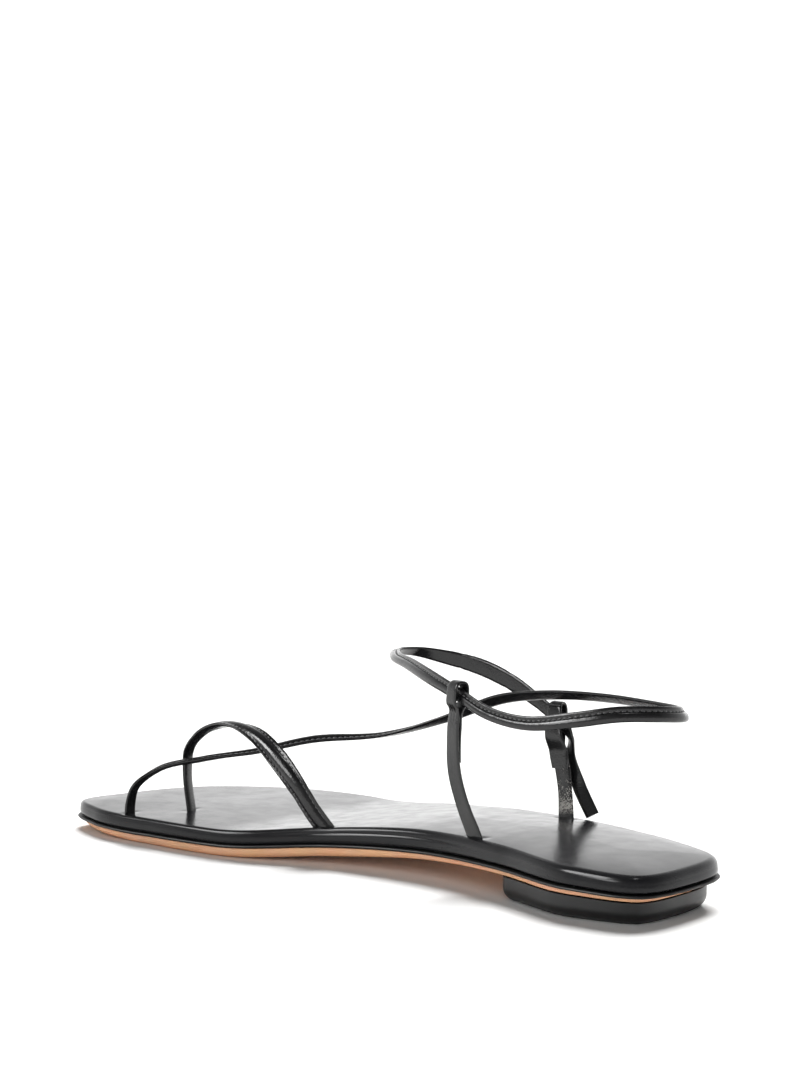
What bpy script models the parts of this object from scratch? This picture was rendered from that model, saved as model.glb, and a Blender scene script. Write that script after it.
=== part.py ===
"""Strappy sandal for a right foot.

A flat leather-covered sole on a low heel, a strap over the big toe, and one long tie strap that
crosses the instep, goes round the ankle and is held there by two looped uprights.
"""

import bmesh
import bpy
import numpy as np

for item in list(bpy.data.objects):
    bpy.data.objects.remove(item, do_unlink=True)

# Driving sizes in millimetres. Along runs from heel to toe, across runs from the middle of the foot
# towards the big-toe side, and heights are above the floor.
MM = 0.001
GAP = 0.3

MIDSOLE_THICK = 0.9
MIDSOLE_LIP = 0.5
FOOTBED_INSET = 0.3
FOOTBED_EDGE = 2.6
FOOTBED_UNDERCUT = 0.6
OUTSOLE_INSET = 0.7
OUTSOLE_RISE_HEEL, OUTSOLE_RISE_BALL = 0.7, 1.7  # height of its rounded lower edge
OUTSOLE_RISE_SHARE = 0.62  # most of the outsole's thickness that the rounding takes
OUTSOLE_BEVEL = 2.0  # how far the rounding runs in, for each millimetre that it rises
TOE_SKIVE = 1.4
TOE_SKIVE_FROM, TOE_SKIVE_TO = 225.0, 250.0

HEEL_BREAST = 63.3
BALL_FROM = 150.0
HEEL_CORNER = 7.0
HEEL_INSET = 1.0
HEEL_EDGE = 4.0
BACK_INSET = 2.8  # how far the outsole and heel stand in at the back of the heel
BACK_FROM, BACK_TO = 4.0, 34.0

TIE_THICK = 1.8
TOE_STRAP_THICK = 2.0
UPRIGHT_LAYER = 1.2
STRAP_EDGE = 0.45  # corner radius of a strap's section, as a share of its thickness
KEEPER_FULLNESS = 0.7  # under 1 squares the keeper's oval up
SLOT_REACH = 7.0
SLOT_CLEAR = 0.45

# Fineness of the solids
SOLE_PAIRS = 38  # points on each side of the sole
HEEL_PAIRS = 20
EDGE_STEPS = 4
TIE_SPACING, TOE_STRAP_SPACING, UPRIGHT_SPACING = 5.0, 4.0, 3.4
LEG_STEPS, KEEPER_STEPS, FOLD_STEPS = 9, 15, 4
BEND_WEIGHT = 9.0  # millimetres of length that one radian of bend counts as
OUTLINE_SPLIT = 4.0  # place across where the outline parts into its two sides
CORNER_STEPS, BREAST_STEPS = 12, 60
SHARP_ANGLE = 40.0

OUTLINE = (  # along, across: plan of the sole, round from the back of the heel by the big-toe side
    (-0.5, 1.0),
    (0.5, 24.0),
    (23.5, 30.5),
    (61.0, 23.0),
    (101.0, 17.0),
    (136.0, 22.0),
    (172.0, 36.5),
    (205.5, 40.0),
    (234.0, 39.0),
    (249.5, 31.5),
    (249.0, 11.5),
    (240.5, -15.5),
    (222.0, -34.0),
    (191.0, -44.0),
    (158.5, -43.0),
    (118.5, -37.5),
    (80.0, -34.0),
    (50.0, -30.5),
    (27.0, -26.5),
    (6.5, -18.5),
)

PROFILE = np.array((  # along, height of the tread, thickness of the outsole, thickness of the footbed
    (-5.0, 7.2, 1.6, 5.6),
    (30.0, 7.7, 1.5, 6.0),
    (60.0, 7.9, 1.4, 6.3),
    (100.0, 6.3, 1.9, 6.5),
    (140.0, 2.8, 3.1, 5.3),
    (178.0, 0.0, 3.2, 4.5),
    (212.0, 0.0, 2.9, 4.7),
    (224.0, 0.5, 2.5, 4.6),
    (238.0, 1.4, 1.8, 4.6),
    (255.0, 2.6, 0.9, 4.3),
))
TREAD, OUTSOLE, FOOTBED = 1, 2, 3

TIE_ROUTE = (  # along, across, height, then the way the strap faces: along, across, up; then its width
    (219.3, 36.0, 6.6, 10, 1, 0, 4.6),
    (219.0, 36.0, 12.0, 10, 1, 0, 4.6),
    (217.0, 35.6, 18.0, 9, 2, 4, 4.5),
    (212.5, 30.0, 23.5, 3, 0, 9, 4.5),
    (199.5, 21.5, 27.8, 2, -1, 10, 4.5),
    (184.0, 11.5, 31.0, 1, 1, 10, 4.8),
    (168.0, 0.0, 35.6, 0, 2, 10, 5.0),
    (148.0, -11.5, 38.0, 0, -1, 10, 5.0),
    (126.0, -20.0, 45.2, 0, -4, 10, 5.0),
    (104.0, -23.5, 53.8, 0, -6, 8, 5.0),
    (84.0, -24.3, 57.2, 0, -6, 8, 5.0),
    (58.0, -23.8, 59.0, -1, -6, 8, 5.0),
    (34.0, -20.5, 59.4, -3, -6, 7, 5.0),
    (18.5, -14.5, 59.8, -6, -6, 5, 5.0),
    (10.0, -4.0, 61.2, -9, -2, 3, 5.0),
    (10.0, 6.0, 62.4, -8, 4, 2, 5.0),
    (17.0, 15.0, 62.6, -5, 8, 2, 5.0),
    (30.0, 21.5, 60.2, -2, 10, 1, 4.9),
    (47.0, 25.0, 57.6, 0, 10, 1, 4.5),
    (64.5, 24.8, 59.0, 1, 10, 1, 4.3),
    (78.4, 22.5, 62.7, 2, 10, 0, 4.6),
    (97.0, 17.0, 66.0, 4, 8, 3, 4.6),
    (114.0, 9.0, 67.6, 4, 6, 6, 4.2),
    (129.2, 0.0, 67.7, 5, 3, 8, 3.9),
    (136.8, -9.0, 67.6, 6, 0, 8, 4.0),
    (137.0, -17.5, 66.6, 5, -5, 6, 4.3),
    (130.0, -24.0, 64.7, 3, -9, 2, 5.0),
    (118.0, -28.5, 62.1, 1, -10, 0, 5.7),
    (104.0, -30.4, 57.4, 0, -10, 0, 5.6),
    (94.0, -30.4, 53.0, 0, -10, 0, 4.8),
    (85.0, -30.4, 48.2, 0, -10, 0, 4.4),
    (82.2, -30.5, 46.0, 0, -10, 0, 4.2),
    (80.9, -32.0, 42.0, -5, -8, 0, 4.0),
    (81.8, -32.6, 36.5, 0, -10, 0, 4.2),
    (79.6, -33.9, 27.5, 5, -9, 0, 4.6),
    (74.2, -34.9, 17.6, 5, -9, 0, 4.6),
)

TOE_STRAP_ROUTE = (  # the same columns, from the slot between the toes back to the ball
    (206.8, 19.0, 6.8, 9, 3, 0, 5.0),
    (207.6, 19.0, 11.0, 9, 3, 0, 5.0),
    (209.4, 18.8, 22.0, 9, 3, 1, 5.3),
    (208.5, 18.6, 30.0, 9, 2, 4, 5.6),
    (203.0, 18.6, 35.6, 6, 0, 7, 5.8),
    (193.0, 19.4, 39.8, 2, -2, 9, 6.0),
    (182.0, 21.0, 41.2, -1, 0, 10, 6.2),
    (170.0, 23.0, 39.0, -2, 5, 8, 6.0),
    (158.5, 24.4, 32.6, -1, 8, 5, 6.8),
    (149.8, 24.2, 24.6, 0, 9, 3, 6.9),
    (144.4, 22.4, 16.8, 0, 9, 3, 6.7),
    (139.8, 19.8, 10.2, 0, 9, 3, 6.4),
)

MEDIAL_LEG = (  # along, across, height, then the way its outer side faces: along, across; then its width
    (76.5, 15.2, 14.2, 0, 10, 6.4),
    (77.3, 15.8, 17.0, 0, 10, 6.4),
    (80.2, 18.6, 28.0, 1, 10, 6.5),
    (81.3, 20.9, 38.0, 1, 10, 6.2),
    (80.8, 22.1, 48.0, 2, 10, 6.0),
    (80.0, 22.5, 56.0, 2, 10, 5.8),
    (79.0, 22.5, 62.7, 2, 10, 5.0),
    (78.6, 22.3, 70.0, 2, 10, 5.0),
)

LATERAL_LEG = (  # the same columns
    (78.7, -26.6, 14.2, 0, -10, 6.4),
    (79.2, -27.0, 17.0, 0, -10, 6.4),
    (80.5, -27.8, 26.0, 0, -10, 6.0),
    (82.4, -28.3, 34.0, 0, -10, 6.3),
    (84.8, -28.8, 40.0, 0, -10, 5.2),
    (86.0, -29.6, 44.5, 0, -10, 4.3),
    (86.0, -30.4, 48.0, 0, -10, 4.2),
    (85.8, -30.8, 56.0, 0, -10, 4.4),
)

KEEPERS = {  # node: leg, keeper's middle height, clear height, clear depth, height over which its layers
    # part below it, degrees below level where they leave its oval, height where the fold ends
    "medial_upright": (MEDIAL_LEG, 62.7, 6.8, 3.4, 1.4, 62.0, 41.0),
    "lateral_upright": (LATERAL_LEG, 47.2, 11.6, 3.7, 2.6, 32.0, 33.0),
}


def smooth_curve(rows, closed=False, steps=20):
    """A curve through the rows, sampled densely. Its pace follows the distance between places."""
    knots = np.array(rows, float)
    if closed:
        knots = np.vstack((knots, knots[:1]))
    step = np.diff(knots, axis=0)
    chord = np.linalg.norm(step[:, :3], axis=1)[:, None]
    pace = step / chord
    if closed:
        before, chord_before = np.roll(pace, 1, axis=0), np.roll(chord, 1, axis=0)
        slope = (pace * chord_before + before * chord) / (chord + chord_before)
        slope = np.vstack((slope, slope[:1]))
    else:
        inner = (pace[1:] * chord[:-1] + pace[:-1] * chord[1:]) / (chord[1:] + chord[:-1])
        slope = np.vstack((pace[:1], inner, pace[-1:]))
    t = np.linspace(0.0, 1.0, steps, endpoint=False)[None, :, None]
    start, end = knots[:-1, None], knots[1:, None]
    leave, arrive = slope[:-1, None] * chord[:, None], slope[1:, None] * chord[:, None]
    bend_in = 3 * (end - start) - 2 * leave - arrive
    bend_out = 2 * (start - end) + leave + arrive
    curve = start + leave * t + bend_in * t**2 + bend_out * t**3
    return np.vstack((curve.reshape(-1, knots.shape[1]), knots[-1:]))


def respace(curve, count=None, spacing=None):
    """Fewer places along a dense curve, closer together where it bends."""
    step = np.diff(curve[:, :3], axis=0)
    length = np.linalg.norm(step, axis=1)
    heading = step / length[:, None]
    turn = np.arccos(np.clip((heading[1:] * heading[:-1]).sum(axis=1), -1.0, 1.0))
    measure = np.append(0.0, np.cumsum(length + BEND_WEIGHT * np.append(turn, 0.0)))
    count = count or round(measure[-1] / spacing)
    places = np.linspace(0.0, measure[-1], count + 1)
    return np.column_stack([np.interp(places, measure, column) for column in curve.T])


def paired_ring(plan, pairs):
    """A closed plan as one ring with as many points on each side of its heel-to-toe line."""
    near_split = np.abs(plan[:, 1] - OUTLINE_SPLIT)
    middle = plan[:, 0].mean()
    heel = np.where(plan[:, 0] < middle, near_split, np.inf).argmin()
    plan = np.roll(plan, -heel, axis=0)
    near_split = np.roll(near_split, -heel)
    toe = np.where(plan[:, 0] > middle, near_split, np.inf).argmin()
    medial = respace(plan[:toe + 1], count=pairs)
    lateral = respace(np.vstack((plan[toe:], plan[:1])), count=pairs)
    return np.vstack((medial[:-1], lateral[:-1]))


def inset_ring(ring, inset):
    """The ring moved inwards. The inset is one size, or one for each point."""
    heading = np.roll(ring, -1, axis=0) - np.roll(ring, 1, axis=0)
    heading /= np.linalg.norm(heading, axis=1)[:, None]
    inward = np.column_stack((heading[:, 1], -heading[:, 0]))
    return ring + inward * np.broadcast_to(inset, len(ring))[:, None]


def profile(column):
    """A height or thickness along the sole, level between rows of the same value."""
    along, value = PROFILE[:, 0], PROFILE[:, column]
    pace = np.diff(value) / np.diff(along)
    before, after = pace[:-1], pace[1:]
    slope = np.zeros(len(value))
    rising = before * after > 0
    slope[1:-1][rising] = (2 * before * after)[rising] / (before + after)[rising]

    def at(place):
        k = np.clip(np.searchsorted(along, place) - 1, 0, len(pace) - 1)
        span = along[k + 1] - along[k]
        t = (place - along[k]) / span
        rise = value[k + 1] - value[k]
        leave, arrive = slope[k] * span, slope[k + 1] * span
        return (value[k] + leave * t + (3 * rise - 2 * leave - arrive) * t**2
                + (leave + arrive - 2 * rise) * t**3)

    return at


tread = profile(TREAD)
outsole_thick = profile(OUTSOLE)
footbed_thick = profile(FOOTBED)


def midsole_base(along):
    return tread(along) + outsole_thick(along) + GAP


def footbed_base(along):
    return midsole_base(along) + MIDSOLE_THICK + GAP


def footbed_top(along):
    return footbed_base(along) + footbed_thick(along)


def back_inset(along):
    """How far the outsole and heel stand in, from the back of the heel forwards."""
    return np.interp(along, (BACK_FROM, BACK_TO), (BACK_INSET, 0.0))


def outsole_rise(along):
    """Height of the outsole's rounded lower edge, less where the outsole is thin."""
    rise = np.interp(along, (HEEL_BREAST, BALL_FROM), (OUTSOLE_RISE_HEEL, OUTSOLE_RISE_BALL))
    return np.minimum(rise, OUTSOLE_RISE_SHARE * outsole_thick(along))


def level(ring, height):
    """A plan ring lifted to a height, which is one size or a function of the place along the sole."""
    up = height(ring[:, 0]) if callable(height) else np.full(len(ring), height)
    return np.column_stack((ring, up))


def rounded_edge(radius):
    """Inset and drop of each step round a quarter turn, from the side up to the top."""
    turns = np.linspace(0.0, np.pi / 2, EDGE_STEPS + 1)
    return [(radius * (1 - np.cos(turn)), radius * (1 - np.sin(turn))) for turn in turns]


SOLE_RING = paired_ring(smooth_curve(OUTLINE, closed=True)[:-1], SOLE_PAIRS)
LIP_RING = inset_ring(SOLE_RING, -MIDSOLE_LIP)
ORIGIN = np.append((LIP_RING.min(axis=0) + LIP_RING.max(axis=0)) / 2, 0.0)


def leather(name, colour, roughness):
    material = bpy.data.materials.new(name)
    material.use_nodes = True
    shader = material.node_tree.nodes["Principled BSDF"]
    shader.inputs["Base Color"].default_value = (*colour, 1.0)
    shader.inputs["Roughness"].default_value = roughness
    shader.inputs["Metallic"].default_value = 0.0
    return material


BLACK_FOOTBED = leather("black smooth leather", (0.055, 0.056, 0.058), 0.30)
BLACK_EDGE = leather("black painted edge", (0.020, 0.020, 0.021), 0.45)
TAN_SOLE = leather("natural tan leather", (0.66, 0.36, 0.20), 0.55)
BLACK_HEEL = leather("black heel rubber", (0.016, 0.016, 0.017), 0.40)
BLACK_STRAP = leather("black strap leather", (0.018, 0.018, 0.019), 0.38)

sandal = bpy.data.objects.new("sandal", None)
bpy.context.collection.objects.link(sandal)


def close_with_rungs(mesh, loop):
    """Close a paired ring by joining each point to the one across from it."""
    half, size = len(loop) // 2, len(loop)
    mesh.faces.new((loop[1], loop[0], loop[-1]))
    for k in range(1, half - 1):
        mesh.faces.new((loop[k], loop[k + 1], loop[size - k - 1], loop[size - k]))
    mesh.faces.new((loop[half - 1], loop[half], loop[half + 1]))


def loft(name, rings, material, paired):
    """One closed solid through the rings, as an object of its own."""
    mesh = bmesh.new()
    loops = [[mesh.verts.new((place - ORIGIN) * MM) for place in ring] for ring in rings]
    for lower, upper in zip(loops, loops[1:]):
        for i in range(len(lower)):
            mesh.faces.new((lower[i - 1], lower[i], upper[i], upper[i - 1]))
    for end in (loops[0], loops[-1]):
        if paired:
            close_with_rungs(mesh, end)
        else:
            mesh.faces.new(end)
    bmesh.ops.recalc_face_normals(mesh, faces=mesh.faces)
    data = bpy.data.meshes.new(name)
    mesh.to_mesh(data)
    mesh.free()
    data.materials.append(material)
    data.shade_smooth()
    data.set_sharp_from_angle(angle=np.radians(SHARP_ANGLE))
    piece = bpy.data.objects.new(name, data)
    piece.parent = sandal
    bpy.context.collection.objects.link(piece)
    return piece


def strap_section(width, thick):
    """A flat section with round edges, as places to the side and out of the face."""
    radius = STRAP_EDGE * thick
    section = []
    for quarter in range(4):
        for turn in np.radians(90 * quarter + np.array((0.0, 45.0, 90.0))):
            corner = np.radians(90 * quarter + 45)
            side = np.sign(np.cos(corner)) * (width / 2 - radius) + radius * np.cos(turn)
            out = np.sign(np.sin(corner)) * (thick / 2 - radius) + radius * np.sin(turn)
            section.append((side, out))
    return section


def directions(places):
    ahead = np.gradient(places, axis=0)
    return ahead / np.linalg.norm(ahead, axis=1)[:, None]


def sweep(places, faces, widths, thick):
    """Rings of a strap's section along its places, turned the way it faces."""
    ahead = directions(places)
    face = faces - ahead * (faces * ahead).sum(axis=1)[:, None]
    face /= np.linalg.norm(face, axis=1)[:, None]
    side = np.cross(ahead, face)
    return [place + np.array([s * across + o * out for s, o in strap_section(width, thick)])
            for place, across, out, width in zip(places, side, face, widths)]


def strap(name, route, thick, spacing):
    rows = respace(smooth_curve(route), spacing=spacing)
    return loft(name, sweep(rows[:, :3], rows[:, 3:6], rows[:, 6], thick), BLACK_STRAP, False)


def keeper_path(leg, middle, clear_height, clear_depth, neck_height, leaves, fold_end):
    """The folded band of an upright: up its outer layer, round the keeper, down its inner layer."""
    dense = smooth_curve(leg)
    layer = (UPRIGHT_LAYER + GAP) / 2
    high = (clear_height + UPRIGHT_LAYER) / 2
    deep = (clear_depth + UPRIGHT_LAYER) / 2
    neck = middle - high - neck_height
    turns = np.radians(np.linspace(-leaves, 180 + leaves, KEEPER_STEPS))
    cosine, sine = np.cos(turns), np.sin(turns)
    offsets = [(layer, height) for height in np.linspace(leg[0][2], neck, LEG_STEPS)]
    offsets += list(zip(deep * np.sign(cosine) * abs(cosine)**KEEPER_FULLNESS,
                        middle + high * np.sign(sine) * abs(sine)**KEEPER_FULLNESS))
    offsets += [(-layer, height) for height in np.linspace(neck, fold_end, FOLD_STEPS)]
    rows = []
    for out, height in offsets:
        place = np.array([np.interp(height, dense[:, 2], column) for column in dense.T])
        face = np.append(place[3:5], 0.0) / np.linalg.norm(place[3:5])
        side = np.cross(face, (0.0, 0.0, 1.0))
        rows.append((*(place[:3] + out * face), *side, place[5]))
    return rows


def upright(name, keeper):
    path = keeper_path(*keeper)
    rows = respace(smooth_curve(path), spacing=UPRIGHT_SPACING)
    places, sides = rows[:, :3], rows[:, 3:6]
    faces = np.cross(sides, directions(places))
    return loft(name, sweep(places, faces, rows[:, 6], UPRIGHT_LAYER), BLACK_STRAP, False)


def footbed():
    rings = [level(inset_ring(SOLE_RING, FOOTBED_INSET + FOOTBED_UNDERCUT), footbed_base)]
    rings.append(level(inset_ring(SOLE_RING, FOOTBED_INSET),
                       lambda along: footbed_base(along) + FOOTBED_UNDERCUT))
    for inset, drop in rounded_edge(FOOTBED_EDGE):
        rings.append(level(inset_ring(SOLE_RING, FOOTBED_INSET + inset),
                           lambda along, drop=drop: footbed_top(along) - drop))
    return loft("footbed", rings, BLACK_FOOTBED, True)


def midsole():
    half = MIDSOLE_THICK / 2
    rings = []
    for turn in np.radians((-90.0, -30.0, 30.0, 90.0)):
        rings.append(level(inset_ring(LIP_RING, half * (1 - np.cos(turn))),
                           lambda along, turn=turn: midsole_base(along) + half * (1 + np.sin(turn))))
    return loft("midsole", rings, BLACK_EDGE, True)


def outsole():
    reach = np.clip((SOLE_RING[:, 0] - TOE_SKIVE_FROM) / (TOE_SKIVE_TO - TOE_SKIVE_FROM), 0.0, 1.0)
    skive = TOE_SKIVE * reach**2
    side = OUTSOLE_INSET + back_inset(SOLE_RING[:, 0])
    bevel = OUTSOLE_BEVEL * outsole_rise(SOLE_RING[:, 0])
    rings = []
    for inset, lift in reversed(rounded_edge(1.0)):
        rings.append(level(inset_ring(SOLE_RING, side + bevel * inset + skive),
                           lambda along, lift=lift: tread(along) + outsole_rise(along) * lift))
    rings.append(level(inset_ring(SOLE_RING, side + skive / 2),
                       lambda along: tread(along) + outsole_thick(along)))
    return loft("outsole", rings, TAN_SOLE, True)


def heel_plan():
    """The sole's plan behind the breast line, with round corners where the breast meets the sides."""
    side = smooth_curve(OUTLINE, closed=True)[:-1]
    back = side[side[:, 0] < HEEL_BREAST - HEEL_CORNER]
    turn_from = np.argmax(np.linalg.norm(np.diff(back, axis=0), axis=1))
    back = np.roll(back, -turn_from - 1, axis=0)
    lateral_end, medial_end = back[0], back[-1]
    quarter = np.linspace(0.0, np.pi / 2, CORNER_STEPS)[1:]
    medial = medial_end + HEEL_CORNER * np.column_stack((np.sin(quarter), np.cos(quarter) - 1))
    lateral = lateral_end + HEEL_CORNER * np.column_stack((np.sin(quarter), 1 - np.cos(quarter)))
    breast = np.linspace(medial[-1], lateral[-1], BREAST_STEPS)[1:-1]
    return np.vstack((back, medial, breast, lateral[::-1]))


def heel():
    ring = paired_ring(heel_plan(), HEEL_PAIRS)
    ring = inset_ring(ring, HEEL_INSET + back_inset(ring[:, 0]))
    rings = [level(inset_ring(ring, inset), drop) for inset, drop in reversed(rounded_edge(HEEL_EDGE))]
    rings.append(level(ring, lambda along: tread(along) - GAP))
    return loft("heel", rings, BLACK_HEEL, True)


def cut_slot(board, route, face, width, thick):
    """Cut the slot that a strap's end sits in, clear of the strap all round."""
    start, ahead = np.array(route[0][:3]), np.array(route[1][:3]) - np.array(route[0][:3])
    ahead /= np.linalg.norm(ahead)
    places = np.array([start - ahead * GAP, start + ahead * SLOT_REACH])
    wide, deep = width + 2 * SLOT_CLEAR, thick + 2 * SLOT_CLEAR
    rings = sweep(places, np.array((face, face), float), (wide, wide), deep)
    cutter = loft("slot_cutter", rings, BLACK_EDGE, False)
    cutter.hide_render = True
    cutter.display_type = "WIRE"
    cut = board.modifiers.new("slot", "BOOLEAN")
    cut.operation = "DIFFERENCE"
    cut.solver = "EXACT"
    cut.object = cutter


board = footbed()
midsole()
outsole()
heel()
strap("tie_strap", TIE_ROUTE, TIE_THICK, TIE_SPACING)
strap("toe_strap", TOE_STRAP_ROUTE, TOE_STRAP_THICK, TOE_STRAP_SPACING)
cut_slot(board, TIE_ROUTE, TIE_ROUTE[0][3:6], TIE_ROUTE[0][6], TIE_THICK)
cut_slot(board, TOE_STRAP_ROUTE, TOE_STRAP_ROUTE[0][3:6], TOE_STRAP_ROUTE[0][6], TOE_STRAP_THICK)
cut_slot(board, TOE_STRAP_ROUTE[::-1], TOE_STRAP_ROUTE[-1][3:6], TOE_STRAP_ROUTE[-1][6], TOE_STRAP_THICK)
for node, keeper in KEEPERS.items():
    upright(node, keeper)
    band = keeper_path(*keeper)
    facing = np.cross(band[0][3:6], np.array(band[1][:3]) - np.array(band[0][:3]))
    cut_slot(board, band, facing, band[0][6], UPRIGHT_LAYER)
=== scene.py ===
"""Looks of a strappy sandal for a right foot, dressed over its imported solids.

Lengths in the tables are millimetres of the sole's own plan: along runs from heel to toe, across runs
towards the big-toe side, and heights are above the floor.
"""

import bmesh
import bpy
import numpy as np
from mathutils import Matrix, Vector


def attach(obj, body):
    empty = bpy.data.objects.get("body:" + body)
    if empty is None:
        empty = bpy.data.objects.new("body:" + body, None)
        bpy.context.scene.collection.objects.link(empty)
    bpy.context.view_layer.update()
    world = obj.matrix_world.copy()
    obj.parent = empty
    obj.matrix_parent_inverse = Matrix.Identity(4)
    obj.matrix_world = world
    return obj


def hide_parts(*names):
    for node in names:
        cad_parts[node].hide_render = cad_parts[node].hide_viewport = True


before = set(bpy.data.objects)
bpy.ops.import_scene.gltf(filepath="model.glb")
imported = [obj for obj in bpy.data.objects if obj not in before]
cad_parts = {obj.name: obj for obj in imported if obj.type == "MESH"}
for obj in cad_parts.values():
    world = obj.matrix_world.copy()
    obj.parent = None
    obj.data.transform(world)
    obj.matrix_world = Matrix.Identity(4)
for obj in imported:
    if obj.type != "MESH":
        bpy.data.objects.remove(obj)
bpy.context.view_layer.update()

MM = 0.001
METRE = 1000  # millimetres, so a pattern's scale is METRE over its real size
ORIGIN = np.array((124.447, -1.988, 0.0))  # the plan's place for the frame's origin
MERGE = 1e-7
SHARP_EDGE = 35.0  # degrees between faces from which an edge is drawn sharp
CURVE_STEPS = 40  # samples between two places of a curve
EDGE_STEPS = 160  # the same, where distances from the sole's edge are measured

# Camera: where it stands and a point on its line of sight, in metres, and its lens
EYE = (-0.97509, 0.97763, 0.26709)
AIM = (0.00942, -0.00469, 0.10655)
LENS = 145.34
SENSOR = 36.0

# Studio
FLOOR_SIZE = 30.0  # metres
WALL_WAY = (0.7, -0.7, 0.0)  # from the sandal to the white wall
LAMPS = (  # name, way to it, degrees it spans, power, whether it lights, whether gloss mirrors it
    ("round lamp overhead", (-0.1, 0.1, 1.0), 8.0, 0.3, False, True),
    ("wide lamp behind and above", (0.45, -0.65, 0.95), 36.0, 6.2, True, False),
    ("wide lamp by the camera", (-0.6, 0.75, 0.3), 60.0, 1.5, True, False),
    ("shine card in front", (0.48, 0.6, 0.6), 24.0, 2.4, False, True),
    ("shine card beside", (0.3, 0.87, 0.38), 22.0, 1.1, False, True),
)

# Sole
GAP = 0.3
MIDSOLE_THICK = 0.9
MIDSOLE_LIP = 0.5
MIDSOLE_COVERED = 6.0  # how far in the lip's rounded wall starts and ends, hidden by the other layers
KNIFE_WAVES = ((0.07, 23, 1.0), (0.05, 41, 2.0), (0.04, 67, 0.0))  # size, count round the sole, start
FOOTBED_INSET = 0.3
FOOTBED_EDGE_HEEL, FOOTBED_EDGE_BALL = 2.4, 1.4  # radius of the cover's upper edge
FOOTBED_TUCK_HEEL, FOOTBED_TUCK_BALL = 1.1, 0.45  # how far its side turns in at the foot
HEEL_CROWN, BALL_CROWN = 1.7, 0.6  # how far the padded cover stands up in the middle
HEEL_CROWN_SPAN, BALL_CROWN_SPAN = 13.0, 22.0
CROWN_REST = 0.78  # share of the crown that rises over the even height, the rest falls to the edge
CROWN_FROM, CROWN_TO = 70.0, 130.0
ARCH_MIDDLE, ARCH_SPAN = 112.0, 34.0  # where the big-toe side of the cover is creased
CREASE_DEPTH = 0.28
CREASE_AT, CREASE_SPAN = 0.16, 0.07  # shares of the side's height, from its top
SIDE_BULGE = 0.16
TUCK_FROM = 0.72  # share of the side's height where it starts to turn in
SLOT_DENT, SLOT_DENT_SPAN = 0.28, 1.2
OUTSOLE_INSET = 0.7
OUTSOLE_RISE_HEEL, OUTSOLE_RISE_BALL = 0.7, 1.7  # height of its rounded lower edge
OUTSOLE_RISE_SHARE = 0.62  # most of the outsole's thickness that the rounding takes
OUTSOLE_BEVEL = 2.0  # how far the rounding runs in, for each millimetre that it rises
TOE_SKIVE = 1.4
TOE_SKIVE_FROM, TOE_SKIVE_TO = 225.0, 250.0
HEEL_BREAST = 63.3
BALL_FROM = 150.0
HEEL_CORNER = 7.0
HEEL_INSET = 1.0
HEEL_EDGE = 4.0
HEEL_CORNER_POINTS, BREAST_POINTS = 24, 90
BACK_INSET = 2.8  # how far the outsole and heel stand in at the back of the heel
BACK_FROM, BACK_TO = 4.0, 34.0
ALONG_STEPS, ACROSS_STEPS = 220, 72
HEEL_ALONG_STEPS, HEEL_ACROSS_STEPS = 60, 52
FOOTBED_EDGE_RINGS, FOOTBED_SIDE_RINGS = 10, 14
MIDSOLE_RINGS = 7
OUTSOLE_EDGE_RINGS, OUTSOLE_SIDE_RINGS = 6, 7
HEEL_EDGE_RINGS, HEEL_SIDE_RINGS = 9, 7

# Straps
TIE_THICK = 2.0
TOE_STRAP_THICK = 2.2
UPRIGHT_LAYER = 1.2
FOLD_GAP = 0.04
KEEPER_FULLNESS = 0.7  # an oval's is 1, and less makes it squarer
KEEPER_FULL = 3.4  # radians round the keeper where the band has its folded layer's width
LEG_ROWS, KEEPER_ROWS, FOLD_ROWS = 9, 33, 4
STRAP_STEP = 0.9
KEEPER_STEP = 0.6
SECTION_POINTS = 36
PINCH_NARROWS = 0.25  # share of a crease's depth by which the strap is also narrower there

# Stitching
STITCH_PITCH = 1.9
STITCH_LENGTH = 1.35
THREAD = 0.48
TIE_SEAMS = ((0.175, 0.12),)  # for each row its share of the width to the side and of the thickness out
TIE_SEAM_FROM, TIE_SEAM_TO = 6.0, 500.0
TOE_SEAMS = ((0.34, 0.15), (-0.34, 0.15))
TOE_SEAM_FROM, TOE_SEAM_TO = 5.0, 104.0

OUTLINE = (  # along, across: plan of the sole, round from the back of the heel by the big-toe side
    (-0.5, 1.0),
    (0.5, 24.0),
    (23.5, 30.5),
    (61.0, 23.0),
    (101.0, 17.0),
    (136.0, 22.0),
    (172.0, 36.5),
    (205.5, 40.0),
    (234.0, 39.0),
    (249.5, 31.5),
    (249.0, 11.5),
    (240.5, -15.5),
    (222.0, -34.0),
    (191.0, -44.0),
    (158.5, -43.0),
    (118.5, -37.5),
    (80.0, -34.0),
    (50.0, -30.5),
    (27.0, -26.5),
    (6.5, -18.5),
)
SOLE_CORNERS = ((9.0, -20.0), (4.0, 27.5), (247.5, 34.0), (233.0, -25.0))
HEEL_CORNERS = ((9.0, -20.0), (4.0, 27.5), (60.0, 20.0), (60.0, -28.0))
SLOTS = (  # along, across, half length and direction of each slot the straps go down into
    (219.2, 36.0, 2.3, 1, -10),
    (207.2, 19.0, 2.6, 3, -9),
    (141.0, 20.6, 3.2, 10, 0),
    (76.9, 15.7, 3.3, 10, 0),
    (79.0, -27.2, 3.3, 10, 0),
)

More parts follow.
